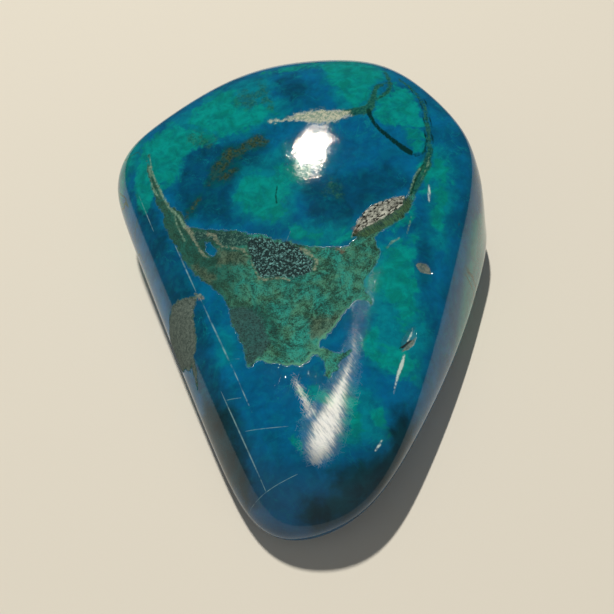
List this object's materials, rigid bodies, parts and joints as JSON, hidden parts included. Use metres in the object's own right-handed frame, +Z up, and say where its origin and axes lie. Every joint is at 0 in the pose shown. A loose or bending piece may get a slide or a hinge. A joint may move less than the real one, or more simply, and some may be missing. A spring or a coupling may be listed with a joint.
{
  "type": "polished mineral freeform",
  "caption": "Lapped and polished freeform of blue-green chrysocolla with a band of malachite matrix, rounded wedge with a narrow nose and a flat base to lie on.",
  "frame": {"origin": "under the middle of the stone's bounding box, on the surface that it lies on", "axes": "+Y along the stone from its narrow nose to its broad rear, +Z up through the polished top, +X to the right as the nose points towards the viewer"},
  "size_m": [0.072, 0.0966, 0.0283],
  "materials": {
    "polished_stone": "polished blue to teal-green chrysocolla, with a dull granular green and olive malachite patch, thin tan and olive veins and a sparkling crystal pocket"
  },
  "bodies": {
    "root": {"polished_freeform": "polished_stone"}
  },
  "joints": []
}
